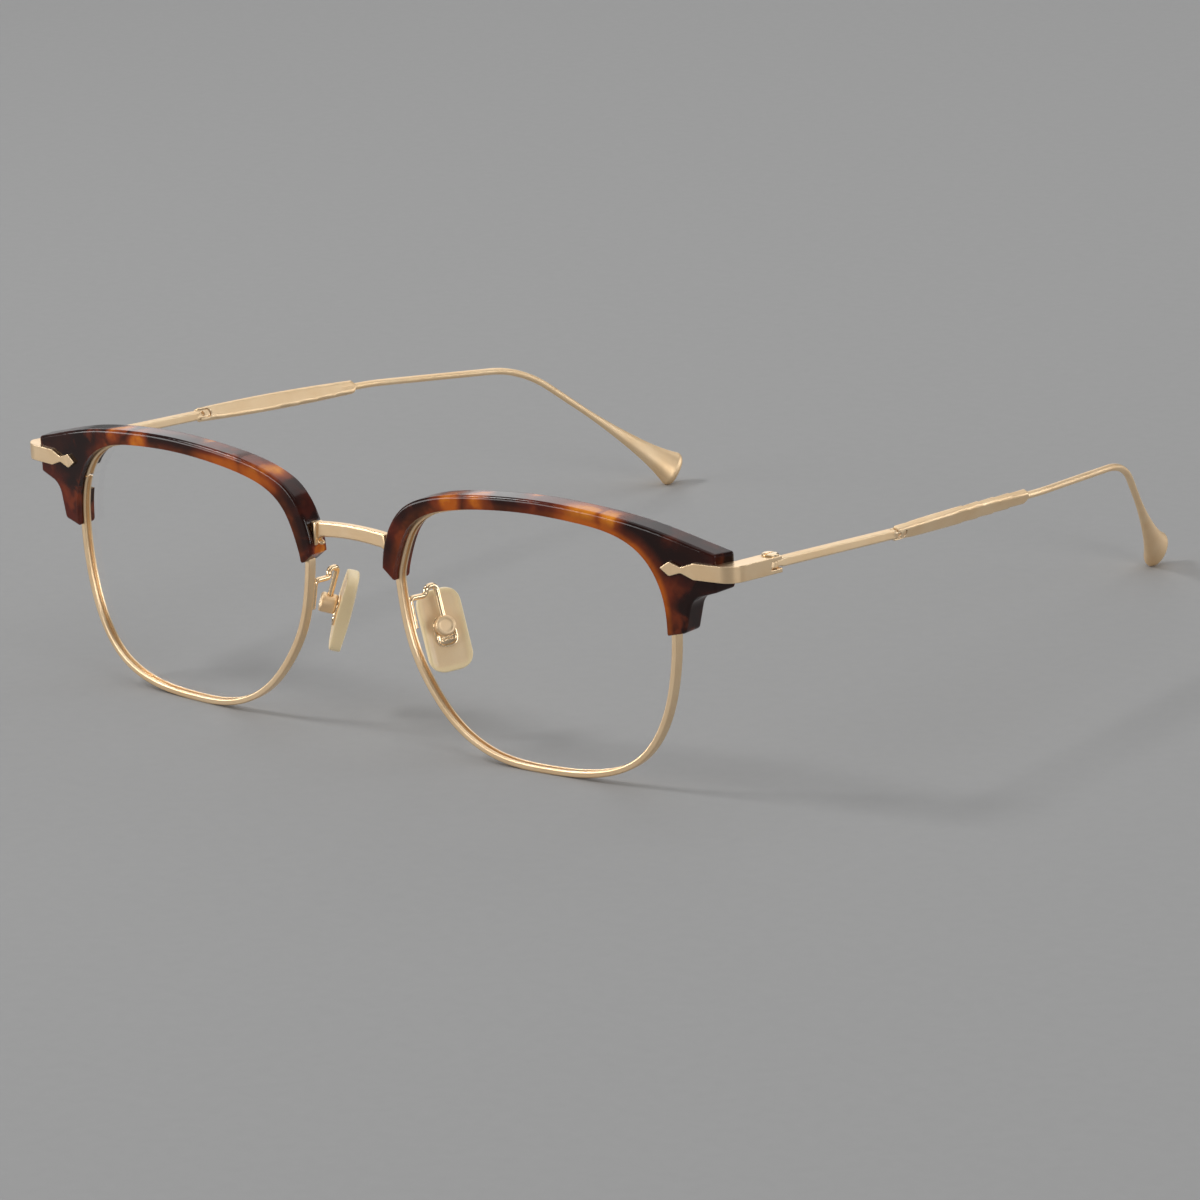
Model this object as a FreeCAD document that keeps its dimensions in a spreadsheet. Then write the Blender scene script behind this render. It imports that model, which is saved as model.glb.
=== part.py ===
import FreeCAD, Part
import math
import os
from types import SimpleNamespace
from FreeCAD import Placement, Rotation, Vector

# Browline glasses, in millimetres. +X is the right of someone facing the front, the front
# looks towards -Y, and Z = 0 is the table under the rims and the temple tips.

doc = FreeCAD.newDocument("browline_glasses")
sheet = doc.addObject("Spreadsheet::Sheet", "Sizes")

SIZES = (
    # lenses and the curve of the whole front
    ("lens_width", 50.7),
    ("lens_height", 40.4),
    ("lens_thickness", 1.3),
    ("nose_gap", 18.6),
    ("base_radius", 364.0),
    ("front_setback", 72.39),
    # metal rims
    ("rim_wall", 1.0),
    ("rim_depth", 1.55),
    ("rim_setback", 1.27),
    ("rim_edge", 0.2),
    ("groove_depth", 0.45),
    ("groove_width", 0.75),
    ("fit_gap", 0.03),
    ("block_width", 2.3),
    ("block_height", 3.2),
    ("block_slit", 0.3),
    ("rim_screw_diameter", 0.9),
    # acetate brows
    ("brow_depth", 3.85),
    ("brow_rise", 2.0),
    ("brow_inset", 0.1),
    ("brow_overhang", 8.3),
    ("brow_end_slant", 0.85),
    ("brow_edge", 0.5),
    # bridge
    ("bridge_thickness", 1.3),
    ("bridge_height", 2.2),
    ("bridge_foot_height", 3.4),
    ("bridge_drop", 7.25),
    ("bridge_foot_length", 2.0),
    ("bridge_edge", 0.25),
    # end pieces and hinges
    ("strap_thickness", 0.45),
    ("strap_height", 2.5),
    ("strap_drop", 5.5),
    ("strap_waist", 0.8),
    ("arrow_length", 8.95),
    ("arrow_shoulder", 3.35),
    ("rivet_diameter", 0.9),
    ("rivet_head", 1.6),
    ("block_reach", 3.7),
    ("wrap_radius", 3.0),
    ("bar_width", 2.8),
    ("hinge_back", 14.5),
    ("fork_slot", 1.3),
    ("fork_depth", 1.4),
    ("fork_reach", 1.4),
    ("tongue_height", 1.05),
    ("hinge_pin_diameter", 1.0),
    ("hinge_head_diameter", 2.6),
    ("hinge_head_height", 0.45),
    ("run_gap", 0.03),
    # temples
    ("temple_pitch", 4.9),
    ("temple_bow", 1.15),
    ("stick_side", 1.35),
    ("stick_length", 30.9),
    ("stick_stop", 1.5),
    ("stick_gap", 0.2),
    ("cross_hole", 0.8),
    ("sleeve_length", 37.0),
    ("sleeve_lip", 1.4),
    ("sleeve_height", 2.8),
    ("sleeve_end_height", 2.2),
    ("sleeve_thickness", 1.4),
    ("sleeve_edge", 0.42),
    ("sleeve_roll", 27.0),
    ("sleeve_toe_in", 2.85),
    ("notch_gap", 0.09),
    ("notch_end", 0.55),
    ("wire_diameter", 1.15),
    ("wire_seat", 4.0),
    ("wire_lead", 4.5),
    ("wire_run", 32.4),
    ("wire_toe_in", 11.1),
    ("wire_dip", 1.7),
    ("bend_radius", 22.0),
    ("drop_angle", 33.9),
    ("drop_toe_in", 23.0),
    ("paddle_length", 24.0),
    ("paddle_width", 6.2),
    ("paddle_thickness", 3.6),
    ("paddle_end", 1.3),
    ("paddle_swell", 2.1),
    # nose pads and their arms
    ("pad_height", 12.9),
    ("pad_width", 7.0),
    ("pad_thickness", 2.7),
    ("pad_splay", 42.0),
    ("pad_lean", 17.0),
    ("pad_cant", 8.7),
    ("can_diameter", 3.1),
    ("can_length", 2.6),
    ("can_edge", 0.35),
    ("can_dish", 0.12),
    ("plate_width", 3.4),
    ("plate_height", 4.8),
    ("plate_thickness", 0.4),
    ("arm_diameter", 0.9),
    ("arm_turn", 0.65),
    ("arm_hump", 0.95),
    ("arm_hook", 2.2),
    ("arm_rise", 6.5),
    ("arm_side", 2.65),
    ("arm_back", 8.48),
    ("arm_drop", 23.0),
    ("foot_length", 4.6),
)

for row, (alias, value) in enumerate(SIZES, start=1):
    sheet.set("A%d" % row, alias)
    sheet.set("B%d" % row, str(value))
    sheet.setAlias("B%d" % row, alias)
doc.recompute()
d = SimpleNamespace(**{alias: float(sheet.get(alias)) for alias, value in SIZES})

front_y = -d.front_setback
nasal_x = d.nose_gap / 2
temporal_x = nasal_x + d.lens_width
lens_bottom = d.rim_wall - d.groove_depth
lens_top = lens_bottom + d.lens_height
brow_end_x = temporal_x + d.brow_overhang
strap_z = lens_top - d.strap_drop
outside = d.rim_wall - d.groove_depth
inside = -d.groove_depth


def sine(angle):
    return math.sin(math.radians(angle))


def cosine(angle):
    return math.cos(math.radians(angle))


def rounded_path(points, radii):
    # Straight runs joined by tangent arcs, with a radius for each inner corner.
    edges = []
    start = points[0]
    for corner, after, radius in zip(points[1:-1], points[2:], radii):
        inward = (start - corner).normalize()
        onward = (after - corner).normalize()
        half = inward.getAngle(onward) / 2
        reach = radius / math.tan(half)
        first = corner + inward * reach
        last = corner + onward * reach
        middle = (inward + onward).normalize()
        top = corner + middle * (radius / math.sin(half) - radius)
        edges.append(Part.LineSegment(start, first).toShape())
        edges.append(Part.Arc(first, top, last).toShape())
        start = last
    edges.append(Part.LineSegment(start, points[-1]).toShape())
    return edges


def tube(edges, diameter):
    path = Part.Wire(edges)
    begin = edges[0].valueAt(edges[0].FirstParameter)
    heading = edges[0].tangentAt(edges[0].FirstParameter)
    ring = Part.Wire([Part.Circle(begin, heading, diameter / 2).toShape()])
    return path.makePipeShell([ring], True, False)


def front_slab(near, far):
    # The curved layer between two depths behind the front of the brows, right half.
    ends = (-4.0, 38.0, 90.0)
    front = [Vector(x, front_face_y(x, near), -10) for x in ends]
    back = [Vector(x, front_face_y(x, far), -10) for x in ends]
    edges = [
        Part.Arc(*front).toShape(),
        Part.LineSegment(front[2], back[2]).toShape(),
        Part.Arc(back[2], back[1], back[0]).toShape(),
        Part.LineSegment(back[0], front[0]).toShape(),
    ]
    return Part.Face(Part.Wire(edges)).extrude(Vector(0, 0, 90))


def front_face_y(x, depth):
    # The front or any layer behind it, seen from above.
    return front_y + d.base_radius - math.sqrt((d.base_radius - depth) ** 2 - (x - 12) ** 2)


def front_prism(wire):
    # A front outline carried straight back through the whole depth of the front.
    moved = wire.copy()
    moved.translate(Vector(0, front_y - 8, 0))
    return Part.Face(moved).extrude(Vector(0, 40, 0))


# Edge of the lens, in halves of its width and height from its middle.
LENS_EDGE = (
    (-1.0, 0.27), (-0.975, 0.04), (-0.915, -0.24), (-0.786, -0.53), (-0.589, -0.793), (-0.29, -0.967),
    (0.071, -1.0), (0.43, -0.962), (0.725, -0.80), (0.886, -0.53), (0.972, -0.17), (1.0, 0.2),
    (0.985, 0.45), (0.925, 0.66), (0.82, 0.82), (0.67, 0.92), (0.4, 0.98), (0.06, 1.0), (-0.29, 0.975),
    (-0.589, 0.914), (-0.775, 0.825), (-0.89, 0.69), (-0.965, 0.48),
)


def lens_curve(offset):
    middle_x = (nasal_x + temporal_x) / 2
    middle_z = (lens_bottom + lens_top) / 2
    points = [Vector(middle_x + u * d.lens_width / 2, 0, middle_z + w * d.lens_height / 2) for u, w in LENS_EDGE]
    edge = Part.BSplineCurve()
    edge.interpolate(Points=points, PeriodicFlag=True)
    count = 2 * len(LENS_EDGE)
    span = edge.LastParameter - edge.FirstParameter
    moved = []
    for step in range(count):
        place = edge.FirstParameter + span * step / count
        along = edge.tangent(place)[0]
        moved.append(edge.value(place) + Vector(-along.z, 0, along.x) * -offset)
    curve = Part.BSplineCurve()
    curve.interpolate(Points=moved, PeriodicFlag=True)
    return curve


def lens_wire(offset):
    # The offset lens edge in four runs.
    curve = lens_curve(offset)
    quarter = (curve.LastParameter - curve.FirstParameter) / 4
    runs = []
    for step in range(4):
        run = curve.copy()
        start = curve.FirstParameter + quarter * step
        run.segment(start, start + quarter)
        runs.append(run.toShape())
    return Part.Wire(runs)


def edge_x(offset, height, nasal):
    # Where an offset lens edge crosses a height, on its nasal or its temporal side.
    line = Part.LineSegment(Vector(-20, 0, height), Vector(120, 0, height)).toShape()
    crossings = [vertex.X for vertex in Part.Face(lens_wire(offset)).common(line).Vertexes]
    return min(crossings) if nasal else max(crossings)


def keep(label, shape):
    feature = doc.addObject("Part::Feature", label)
    feature.Label = label
    feature.Shape = shape.removeSplitter()
    return feature


def body(label, place):
    made = doc.addObject("PartDesign::Body", label)
    made.Label = label
    made.Placement = place
    return made


def sketch(owner, plane, edges, offset=0.0):
    made = owner.newObject("Sketcher::SketchObject", owner.Name + "_sketch")
    support = [part for part in owner.Origin.OriginFeatures if part.Role == plane][0]
    made.AttachmentSupport = (support, "")
    made.MapMode = "FlatFace"
    made.AttachmentOffset = Placement(Vector(0, 0, offset), Rotation())
    made.addGeometry(edges, False)
    return made


def pad(owner, profile, length, midplane=True):
    made = owner.newObject("PartDesign::Pad", owner.Name + "_pad")
    made.Profile = profile
    made.setExpression("Length", length)
    made.SideType = "Symmetric" if midplane else "One side"
    owner.Tip = made
    doc.recompute()
    return made


def pocket(owner, profile, length, midplane=False, reverse=False):
    made = owner.newObject("PartDesign::Pocket", owner.Name + "_pocket")
    made.Profile = profile
    made.setExpression("Length", length)
    made.SideType = "Symmetric" if midplane else "One side"
    made.Reversed = reverse
    owner.Tip = made
    doc.recompute()
    return made


def round_all(owner, radius):
    base = owner.Tip
    made = owner.newObject("PartDesign::Fillet", owner.Name + "_rounding")
    made.Base = (base, [])
    made.UseAllEdges = True
    made.setExpression("Radius", radius)
    owner.Tip = made
    doc.recompute()
    return made


def spin(owner, points):
    # A turned piece about its own Z, from a half section of radius and height.
    edges = [Part.LineSegment(Vector(*a, 0), Vector(*b, 0)) for a, b in zip(points, points[1:] + points[:1])]
    made = owner.newObject("PartDesign::Revolution", owner.Name + "_turned")
    made.Profile = sketch(owner, "XZ_Plane", edges)
    made.ReferenceAxis = (made.Profile[0], ["V_Axis"])
    made.Angle = 360.0
    owner.Tip = made
    doc.recompute()
    return made


def circle(x, y, radius):
    return [Part.Circle(Vector(x, y, 0), Vector(0, 0, 1), radius)]


def rectangle(x0, y0, x1, y1):
    corners = [Vector(x0, y0, 0), Vector(x1, y0, 0), Vector(x1, y1, 0), Vector(x0, y1, 0)]
    return [Part.LineSegment(a, b) for a, b in zip(corners, corners[1:] + corners[:1])]


def rounded_rectangle(wide, tall, radius, middle=0.0):
    x = wide / 2
    y = tall / 2
    corners = [Vector(0, -y), Vector(x, -y), Vector(x, y), Vector(-x, y), Vector(-x, -y), Vector(0, -y)]
    corners = [corner + Vector(0, middle, 0) for corner in corners]
    geometry = []
    for edge in rounded_path(corners, [radius] * 4):
        first = edge.valueAt(edge.FirstParameter)
        last = edge.valueAt(edge.LastParameter)
        if edge.Curve.TypeId == "Part::GeomLine":
            geometry.append(Part.LineSegment(first, last))
        else:
            geometry.append(Part.Arc(first, edge.valueAt((edge.FirstParameter + edge.LastParameter) / 2), last))
    return geometry


# Rim: a closed metal wire with an inner groove for the lens. It is split at the closing block
# behind the brow, where a small screw draws the two halves of the block together.
rim_back = d.rim_setback + d.rim_depth
groove_front = d.rim_setback + (d.rim_depth - d.groove_width) / 2
block_z = strap_z - 2.5
block_x = edge_x(outside, block_z, nasal=False)
block_screw_x = block_x + d.block_width * 0.55
block_screw_y = front_face_y(block_screw_x, d.rim_setback + d.rim_depth / 2)
rim_layer = front_slab(d.rim_setback, rim_back)
ring = front_prism(lens_wire(outside)).cut(front_prism(lens_wire(inside))).common(rim_layer)
block = Part.makeBox(
    d.block_width + 0.5, 40, d.block_height,
    Vector(block_x - 0.5, front_y - 8, block_z - d.block_height / 2))
slit = Part.makeBox(
    d.block_width + 4, 40, d.block_slit,
    Vector(block_x - 3, front_y - 8, block_z - d.block_slit / 2))
groove = front_prism(lens_wire(0.0)).common(front_slab(groove_front, groove_front + d.groove_width))
screw_way = Part.makeCylinder(
    d.rim_screw_diameter / 2 + d.fit_gap, d.block_height + 4,
    Vector(block_screw_x, block_screw_y, block_z - d.block_height / 2 - 2))
block = block.cut(front_prism(lens_wire(outside / 2))).common(rim_layer)
rim_shape = ring.cut(groove)


def rim_corners(shape):
    # The long front and back edges of the rim, without those of its groove.
    chosen = []
    for edge in shape.Edges:
        point = edge.valueAt((edge.FirstParameter + edge.LastParameter) / 2)
        depth = point.y - front_face_y(point.x, 0)
        if edge.Length > 5 and min(abs(depth - d.rim_setback), abs(depth - rim_back)) < 0.03:
            chosen.append(edge)
    return chosen


rim_shape = rim_shape.makeFillet(d.rim_edge, rim_corners(rim_shape)).fuse(block).cut(slit).cut(screw_way)
keep("rim_right", rim_shape)

rim_screw = body("rim_screw_right", Placement(
    Vector(block_screw_x, block_screw_y, block_z - d.block_height / 2), Rotation()))
shank = d.rim_screw_diameter / 2
spin(rim_screw, [(0, -0.4), (shank + 0.25, -0.4), (shank + 0.25, 0), (shank, 0), (shank, d.block_height), (0, d.block_height)])
pocket(rim_screw, sketch(rim_screw, "XZ_Plane", rectangle(-1.5, -0.6, 1.5, -0.2)), "0.22", midplane=True)

# Lens: a clear plate with a thinner tongue all round that sits in the groove.
lens_front = d.rim_setback + (d.rim_depth - d.lens_thickness) / 2
tongue_front = groove_front + d.fit_gap
tongue_back = groove_front + d.groove_width - d.fit_gap
lens_plate = front_prism(lens_wire(inside - d.fit_gap)).common(front_slab(lens_front, lens_front + d.lens_thickness))
lens_tongue = front_prism(lens_wire(-d.fit_gap)).common(front_slab(tongue_front, tongue_back))
keep("lens_right", lens_plate.fuse(lens_tongue))

# Brow: an acetate bar over the top half of the rim, with a flared outer end, a leg down the
# temple side and a chamfered nose end. Its underside is grooved for the rim.
RIDGE = (
    Vector(nasal_x - 2.2, 0, lens_top - 12.55),
    Vector(nasal_x - 1.76, 0, lens_top - 9.55),
    Vector(nasal_x - 0.24, 0, lens_top - 5.6),
    Vector(nasal_x + 2.4, 0, lens_top - 2.5),
    Vector(nasal_x + 6.5, 0, lens_top - 0.45),
    Vector(nasal_x + 0.32 * d.lens_width, 0, lens_top + 0.68 * d.brow_rise),
    Vector(nasal_x + 0.542 * d.lens_width, 0, lens_top + d.brow_rise),
    Vector(nasal_x + 0.753 * d.lens_width, 0, lens_top + 0.75 * d.brow_rise),
    Vector(temporal_x - 2.3, 0, lens_top + 0.02 * d.brow_rise),
    Vector(brow_end_x - 2.3, 0, lens_top - 2.1),
)
ridge = Part.BSplineCurve()
ridge.interpolate(
    Points=list(RIDGE), InitialTangent=Vector(0.05, 0, 1), FinalTangent=Vector(0.966, 0, -0.26), Scale=False)
LEG_TOE = Vector(temporal_x + 2.9, 0, lens_top - 15.3)
END = [
    RIDGE[-1],
    Vector(brow_end_x + 3.0, 0, lens_top - 3.53),
    Vector(brow_end_x + 3.0, 0, lens_top - 7.55),
    Vector(brow_end_x - 4.2, 0, lens_top - 9.92),
    LEG_TOE,
    Vector(temporal_x - 4.0, 0, lens_top - 17.0),
    Vector(nasal_x + 4.0, 0, lens_top - 14.2),
    Vector(nasal_x - 0.1, 0, lens_top - 14.2),
    RIDGE[0],
]
brow_edges = [ridge.toShape()] + rounded_path(END, [0.3, 0.3, 2.8, 0.8, 1.0, 1.0, 0.8])
end_trim = Part.makeBox(20, 40, 80, Vector(0, -20, -10))
end_trim.Placement = Placement(
    Vector(brow_end_x, front_face_y(brow_end_x, 0), 0),
    Rotation(Vector(0, 0, 1), -math.degrees(math.atan2(d.brow_end_slant, d.brow_depth))))
brow_blank = front_prism(Part.Wire(brow_edges)).common(front_slab(0, d.brow_depth)).cut(end_trim)
brow_shape = brow_blank.cut(front_prism(lens_wire(-d.brow_inset)))


def outer_edges(shape):
    # The edges along the ridge, the leg and the nose end of the brow, and all those of its outer end.
    chosen = []
    for edge in shape.Edges:
        box = edge.BoundBox
        crosswise = box.YLength > 0.8 * d.brow_depth and box.XLength < 0.1
        on_ridge = box.XLength > 0.8 * d.lens_width and box.ZMax > lens_top + 0.5 * d.brow_rise
        on_nose = box.XMax < nasal_x + 0.1 and box.ZMax < RIDGE[0].z + 0.1
        on_leg = box.XMin > LEG_TOE.x - 0.5 and box.ZMax < END[2].z - 0.3
        if box.XMin > brow_end_x - 0.2 or not crosswise and (on_ridge or on_nose or on_leg):
            chosen.append(edge)
    return chosen


brow_shape = brow_shape.makeFillet(d.brow_edge, outer_edges(brow_shape))
rim_channel = front_prism(lens_wire(outside + d.fit_gap)).common(
    front_slab(d.rim_setback - d.fit_gap, rim_back + d.fit_gap))
block_pocket = Part.makeBox(
    d.block_width + 3, 40, d.block_height + 1.2,
    Vector(block_x - 2.8, front_y - 8, block_z - d.block_height / 2 - 1.0)).common(
    front_slab(d.rim_setback - d.fit_gap, d.brow_depth + 1))
foot_top = lens_top - d.bridge_drop - 0.4
foot_bottom = foot_top - d.bridge_foot_height
bridge_front = front_y + d.rim_setback + (d.rim_depth - d.bridge_thickness) / 2
bridge_slot = Part.makeBox(
    8, d.bridge_thickness + 2 * d.fit_gap, d.bridge_foot_height + 2 * d.fit_gap,
    Vector(nasal_x - 6, bridge_front - d.fit_gap, foot_bottom - d.fit_gap))
rivet_x = (brow_end_x - 1.8, brow_end_x - 3.6)


def rivet_pin(x, radius):
    return Part.makeCylinder(radius, 40, Vector(x, front_y - 8, strap_z), Vector(0, 1, 0))


brow_shape = brow_shape.cut(rim_channel).cut(block_pocket).cut(bridge_slot)
for x in rivet_x:
    brow_shape = brow_shape.cut(rivet_pin(x, d.rivet_diameter / 2 + d.fit_gap))
keep("brow_right", brow_shape)

# Two rivets hold each end piece to its brow, with their heads on the back.
rivet_shapes = []
for x in rivet_x:
    stem = rivet_pin(x, d.rivet_diameter / 2).common(front_slab(0, d.brow_depth + 0.3))
    head = rivet_pin(x, d.rivet_head / 2).common(front_slab(d.brow_depth, d.brow_depth + 0.3))
    rivet_shapes.append(stem.fuse(head).removeSplitter())
rivets = doc.addObject("Part::Feature", "strap_rivets_right")
rivets.Label = "strap_rivets_right"
rivets.Shape = Part.Compound(rivet_shapes)

# Bridge: one flat bar between the two rims, let into a slot in each brow.
bridge_top = lens_top - d.bridge_drop
foot_x = nasal_x - d.bridge_foot_length
shoulder_x = foot_x - d.bridge_foot_length
rim_points = [Vector(edge_x(outside + d.fit_gap, z, nasal=True), z, 0)
              for z in (foot_bottom, (foot_bottom + foot_top) / 2, foot_top)]


def other(point):
    return Vector(-point.x, point.y, 0)


neck_low = Vector(shoulder_x, bridge_top - 1.14 * d.bridge_height, 0)
neck_mid = Vector(shoulder_x + 0.6 * d.bridge_foot_length, bridge_top - 1.28 * d.bridge_height, 0)
neck_end = Vector(foot_x, foot_bottom, 0)
neck_top = Vector(foot_x, foot_top, 0)
crown = Vector(0, bridge_top, 0)
belly = Vector(0, bridge_top - d.bridge_height, 0)
bridge_edges = [
    Part.Arc(other(neck_top), crown, neck_top),
    Part.LineSegment(neck_top, rim_points[2]),
    Part.Arc(rim_points[2], rim_points[1], rim_points[0]),
    Part.LineSegment(rim_points[0], neck_end),
    Part.Arc(neck_end, neck_mid, neck_low),
    Part.Arc(neck_low, belly, other(neck_low)),
    Part.Arc(other(neck_low), other(neck_mid), other(neck_end)),
    Part.LineSegment(other(neck_end), other(rim_points[0])),
    Part.Arc(other(rim_points[0]), other(rim_points[1]), other(rim_points[2])),
    Part.LineSegment(other(rim_points[2]), other(neck_top)),
]
bridge = body("bridge", Placement(Vector(0, bridge_front + d.bridge_thickness / 2, 0), Rotation()))
pad(bridge, sketch(bridge, "XZ_Plane", bridge_edges), "Sizes.bridge_thickness")
round_all(bridge, "Sizes.bridge_edge")

# End piece: an arrow-ended strap on the front of the brow that wraps round the outer end and
# runs back as a bar. The bar ends in a fork, slotted for the temple and bored for its screw.
half = d.strap_height / 2
arrow_wide = d.arrow_shoulder + 0.73 * (d.arrow_length - d.arrow_shoulder)
arrow_waist = d.arrow_shoulder + 0.38 * (d.arrow_length - d.arrow_shoulder)
strap_end = Vector(brow_end_x - 0.2, 0, half)
upper = rounded_path(
    [
        Vector(brow_end_x - d.arrow_length, 0, 0),
        Vector(brow_end_x - arrow_wide, 0, half * 0.88),
        Vector(brow_end_x - arrow_waist, 0, d.strap_waist / 2),
        Vector(brow_end_x - d.arrow_shoulder, 0, half),
        strap_end,
    ],
    [0.5, 0.9, 0.4])
lower = [edge.mirror(Vector(0, 0, 0), Vector(0, 0, 1)) for edge in upper]
strap_back = Part.LineSegment(strap_end, Vector(strap_end.x, 0, -half)).toShape()
strap_wire = Part.Wire(Part.sortEdges(upper + [strap_back] + lower)[0])
strap_wire.translate(Vector(0, 0, strap_z))
strap = front_prism(strap_wire).common(front_slab(-d.strap_thickness, 0.4))

bar_outer = brow_end_x + d.block_reach
bar_inner = bar_outer - d.bar_width
bar_middle = bar_outer - d.bar_width / 2
hinge_y = front_y + d.hinge_back
fork_end = hinge_y + d.fork_reach
wrap_x = brow_end_x - 0.2
strap_y = front_face_y(wrap_x, -d.strap_thickness)
wrap_rise = (wrap_x - 12) / (d.base_radius + d.strap_thickness)
wrap_plan = [
    Vector(wrap_x, strap_y, 0),
    Vector(bar_outer, strap_y + wrap_rise * (bar_outer - wrap_x), 0),
    Vector(bar_outer, fork_end, 0),
    Vector(bar_inner, fork_end, 0),
    Vector(bar_inner, strap_y + 4.0, 0),
    Vector(wrap_x, strap_y + 4.0, 0),
    Vector(wrap_x, strap_y, 0),
]
wrap_face = Part.Face(Part.Wire(rounded_path(wrap_plan, [d.wrap_radius, 0.4, 0.4, 0.5, 0.1])))
wrap = wrap_face.extrude(Vector(0, 0, 80))
turn_y = strap_y + d.wrap_radius - 0.4
slope = math.tan(math.radians(d.temple_pitch))
side = [
    Vector(0, strap_y - 3, strap_z - half),
    Vector(0, strap_y - 3, strap_z + half),
    Vector(0, turn_y, strap_z + half),
    Vector(0, fork_end + 2, strap_z + half - slope * (fork_end + 2 - turn_y)),
    Vector(0, fork_end + 2, strap_z - half - slope * (fork_end + 2 - turn_y)),
    Vector(0, turn_y, strap_z - half),
    Vector(0, strap_y - 3, strap_z - half),
]
side_band = Part.Face(Part.makePolygon(side)).extrude(Vector(120, 0, 0))
hinge_z = strap_z - slope * (hinge_y - turn_y)
hinge = Vector(bar_middle, hinge_y, hinge_z)
temple_frame = Placement(hinge, Rotation(Vector(1, 0, 0), -d.temple_pitch))
fork_cut = Part.makeBox(20, d.fork_depth + 4, d.fork_slot, Vector(-10, -d.fork_depth, -d.fork_slot / 2))
pin_way = Part.makeCylinder(d.hinge_pin_diameter / 2 + d.run_gap, 6, Vector(0, 0, -3))
fork_cut.Placement = temple_frame
pin_way.Placement = temple_frame
end_piece = wrap.common(side_band).fuse(strap).cut(brow_blank).cut(fork_cut).cut(pin_way)
keep("end_piece_right", end_piece)

hinge_top = half * cosine(d.temple_pitch)
hinge_screw = body("hinge_screw_right", temple_frame)
pin = d.hinge_pin_diameter / 2
cap = d.hinge_head_diameter / 2
spin(hinge_screw, [
    (0, -hinge_top), (pin, -hinge_top), (pin, hinge_top), (cap, hinge_top),
    (cap, hinge_top + d.hinge_head_height * 0.6), (cap - 0.3, hinge_top + d.hinge_head_height),
    (0, hinge_top + d.hinge_head_height),
])
pocket(
    hinge_screw,
    sketch(hinge_screw, "YZ_Plane", rectangle(-2, hinge_top + d.hinge_head_height - 0.25, 2, hinge_top + 2)),
    "0.4", midplane=True)

# Temple stick: a thin square bar. Its front eye turns on the hinge screw, on a flat neck that
# stays in the slot of the fork as the temple folds, and its back ends in a rounded tongue with a
# cross hole, turned to lie flat in the notch of the sleeve.
stick_frame = temple_frame.multiply(Placement(Vector(0, 0, 0), Rotation(Vector(0, 0, 1), -d.temple_bow)))
joint = stick_frame.multVec(Vector(0, d.stick_length, 0))
sleeve_turn = Rotation(Vector(1, 0, 0), -d.temple_pitch).multiply(Rotation(Vector(0, 0, 1), d.sleeve_toe_in))
sleeve_frame = Placement(joint, sleeve_turn.multiply(Rotation(Vector(0, 1, 0), d.sleeve_roll)))


def solid(kind, name, place, **expressions):
    made = doc.addObject(kind, name)
    made.Placement = place
    for key, text in expressions.items():
        made.setExpression(key, text)
    return made


def shifted(frame, x, y, z, turn=Rotation()):
    return frame.multiply(Placement(Vector(x, y, z), turn))


crosswise = Rotation(Vector(0, 1, 0), 90)
stick_half = d.stick_side / 2
stick_start = math.hypot(d.bar_width / 2, d.fork_reach) + d.stick_gap
pieces = [
    solid("Part::Cylinder", "stick_eye", shifted(stick_frame, 0, 0, -d.tongue_height / 2),
          Radius="Sizes.bar_width / 2 - 0.3", Height="Sizes.tongue_height"),
    solid("Part::Box", "stick_neck", shifted(stick_frame, -stick_half, 0, -d.tongue_height / 2),
          Length="Sizes.stick_side", Width=str(stick_start + 0.5), Height="Sizes.tongue_height"),
    solid("Part::Box", "stick_bar", shifted(stick_frame, -stick_half, stick_start, -stick_half),
          Length="Sizes.stick_side", Width="Sizes.stick_length - %r" % (stick_start + d.stick_stop),
          Height="Sizes.stick_side"),
    solid("Part::Box", "stick_tongue", shifted(sleeve_frame, -stick_half * 0.9, -2.0, -stick_half),
          Length="Sizes.stick_side * 0.9", Width="2.4", Height="Sizes.stick_side"),
    solid("Part::Cylinder", "stick_tip", shifted(sleeve_frame, -stick_half * 0.9, 0.4, 0, crosswise),
          Radius="Sizes.stick_side / 2", Height="Sizes.stick_side * 0.9"),
]
stick_sum = doc.addObject("Part::MultiFuse", "stick_sum")
stick_sum.Shapes = pieces
stick_sum.Refine = True
stick_eye_hole = solid("Part::Cylinder", "stick_eye_hole", shifted(stick_frame, 0, 0, -3),
                       Radius="Sizes.hinge_pin_diameter / 2 + Sizes.run_gap", Height="6")
stick_cross_hole = solid("Part::Cylinder", "stick_cross_hole", shifted(sleeve_frame, -3, -0.5, 0, crosswise),
                         Radius="Sizes.cross_hole / 2", Height="6")
stick_holes = doc.addObject("Part::MultiFuse", "stick_holes")
stick_holes.Shapes = [stick_eye_hole, stick_cross_hole]
stick = doc.addObject("Part::Cut", "temple_stick_right")
stick.Label = "temple_stick_right"
stick.Base = stick_sum
stick.Tool = stick_holes

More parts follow.
